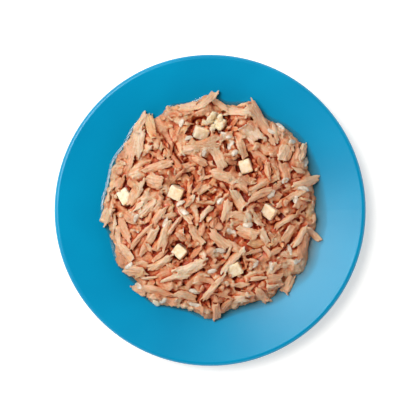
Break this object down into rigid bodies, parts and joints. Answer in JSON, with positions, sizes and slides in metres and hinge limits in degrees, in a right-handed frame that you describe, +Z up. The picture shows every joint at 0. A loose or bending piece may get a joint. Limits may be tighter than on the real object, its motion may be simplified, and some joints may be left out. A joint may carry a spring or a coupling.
{
  "type": "plate of flaked cat food",
  "caption": "Round saucer holding a mound of flaked fish cat food with diced cheese, served ready to eat.",
  "frame": {"origin": "centre of the saucer's resting plane, under its foot ring", "axes": "+Z up out of the saucer, +Y away from the user, +X to the user's right"},
  "size_m": [0.16, 0.16, 0.0242],
  "materials": {
    "plate_glaze": "glossy blue glaze on stoneware",
    "fish_flake": "moist cooked fish flakes, satin with thin gravy",
    "cheese": "smooth pale cheese, satin",
    "cooked_rice": "cooked rice, moist and slightly translucent",
    "broth": "thin clear broth, wet"
  },
  "bodies": {
    "root": {"plate": "plate_glaze", "flake_heap": "fish_flake", "cheese_1": "cheese", "cheese_2": "cheese", "cheese_3": "cheese", "cheese_4": "cheese", "cheese_5": "cheese", "cheese_6": "cheese", "cheese_7": "cheese", "cheese_8": "cheese"}
  },
  "joints": []
}
